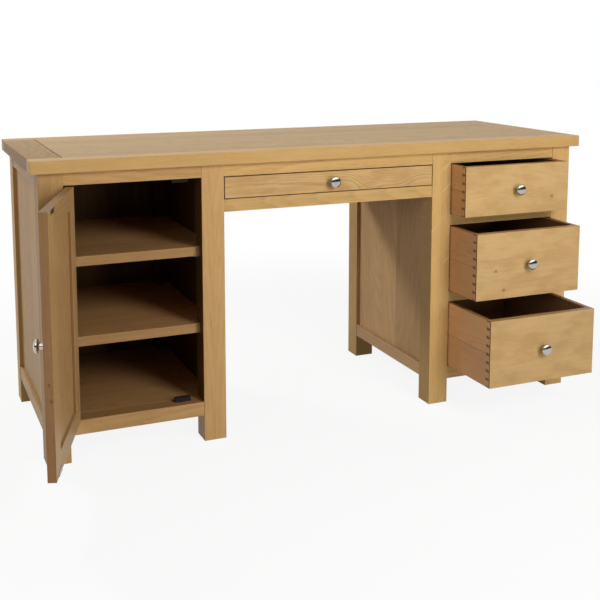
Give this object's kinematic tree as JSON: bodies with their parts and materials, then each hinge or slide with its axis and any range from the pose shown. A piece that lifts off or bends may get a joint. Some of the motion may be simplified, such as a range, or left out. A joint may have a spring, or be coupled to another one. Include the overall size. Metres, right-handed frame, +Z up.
{
  "type": "pedestal desk",
  "caption": "Oak pedestal desk with a framed top, a shelved cupboard with a panelled door, a kneehole with a shallow drawer and a stack of dovetailed drawers.",
  "frame": {"origin": "on the floor under the middle of the desk top", "axes": "+X along the top to the right, +Y to the back, +Z up"},
  "size_m": [1.6441, 0.8849, 0.77],
  "materials": {
    "oak": "satin lacquered oak",
    "drawer_oak": "waxed brown oak",
    "plywood": "lacquered plywood",
    "nickel": "satin nickel",
    "steel": "zinc plated",
    "black_plastic": "moulded"
  },
  "bodies": {
    "carcass": {"top_panel": "oak", "top_left_end": "oak", "top_right_end": "oak", "top_front_rail": "oak", "top_back_rail": "oak", "kneehole_top_rail": "oak", "kneehole_lower_rail": "oak", "kneehole_back_rail": "oak", "cupboard_top_rail": "oak", "cupboard_bottom_rail": "oak", "cupboard_floor": "oak", "upper_shelf": "oak", "lower_shelf": "oak", "drawers_top_rail": "oak", "drawers_dividers": "oak", "drawers_bottom_rail": "oak", "cupboard_front_left_leg": "oak", "cupboard_front_right_leg": "oak", "cupboard_back_legs": "oak", "cupboard_frame_rails": "oak", "cupboard_side_panels": "oak", "cupboard_back_panel": "oak", "drawers_front_left_leg": "oak", "drawers_front_right_leg": "oak", "drawers_back_legs": "oak", "drawers_frame_rails": "oak", "drawers_side_panels": "oak", "drawers_back_panel": "oak", "drawer_runners": "drawer_oak", "shelf_pins": "steel", "hinge_frame_leaves": "steel", "hinge_pins": "steel", "door_catches": "black_plastic", "drawer_guide_pads": "black_plastic"},
    "door": {"door_stiles": "oak", "door_rails": "oak", "door_panel": "oak", "hinge_door_leaves": "steel", "catch_plates": "steel", "door_knob": "nickel"},
    "top_drawer": {"top_drawer_front": "oak", "top_drawer_sides": "drawer_oak", "top_drawer_back": "drawer_oak", "top_drawer_base": "plywood", "top_drawer_knob": "nickel"},
    "middle_drawer": {"middle_drawer_front": "oak", "middle_drawer_sides": "drawer_oak", "middle_drawer_back": "drawer_oak", "middle_drawer_base": "plywood", "middle_drawer_knob": "nickel"},
    "bottom_drawer": {"bottom_drawer_front": "oak", "bottom_drawer_sides": "drawer_oak", "bottom_drawer_back": "drawer_oak", "bottom_drawer_base": "plywood", "bottom_drawer_knob": "nickel"},
    "centre_drawer": {"centre_drawer_front": "oak", "centre_drawer_sides": "drawer_oak", "centre_drawer_back": "drawer_oak", "centre_drawer_base": "plywood", "centre_drawer_knob": "nickel"}
  },
  "joints": [
    {"name": "door_hinge", "type": "hinge", "parent": "carcass", "child": "door", "pos_m": [-0.719, -0.2665, 0.4065], "axis": [0, 0, -1], "range_deg": [-109, 61]},
    {"name": "top_drawer_slide", "type": "slide", "parent": "carcass", "child": "top_drawer", "axis": [0, -1, 0], "range_m": [-0.076, 0.284]},
    {"name": "middle_drawer_slide", "type": "slide", "parent": "carcass", "child": "middle_drawer", "axis": [0, -1, 0], "range_m": [-0.14, 0.22]},
    {"name": "bottom_drawer_slide", "type": "slide", "parent": "carcass", "child": "bottom_drawer", "axis": [0, -1, 0], "range_m": [-0.216, 0.144]},
    {"name": "centre_drawer_slide", "type": "slide", "parent": "carcass", "child": "centre_drawer", "axis": [0, -1, 0], "range_m": [0, 0.25]}
  ]
}
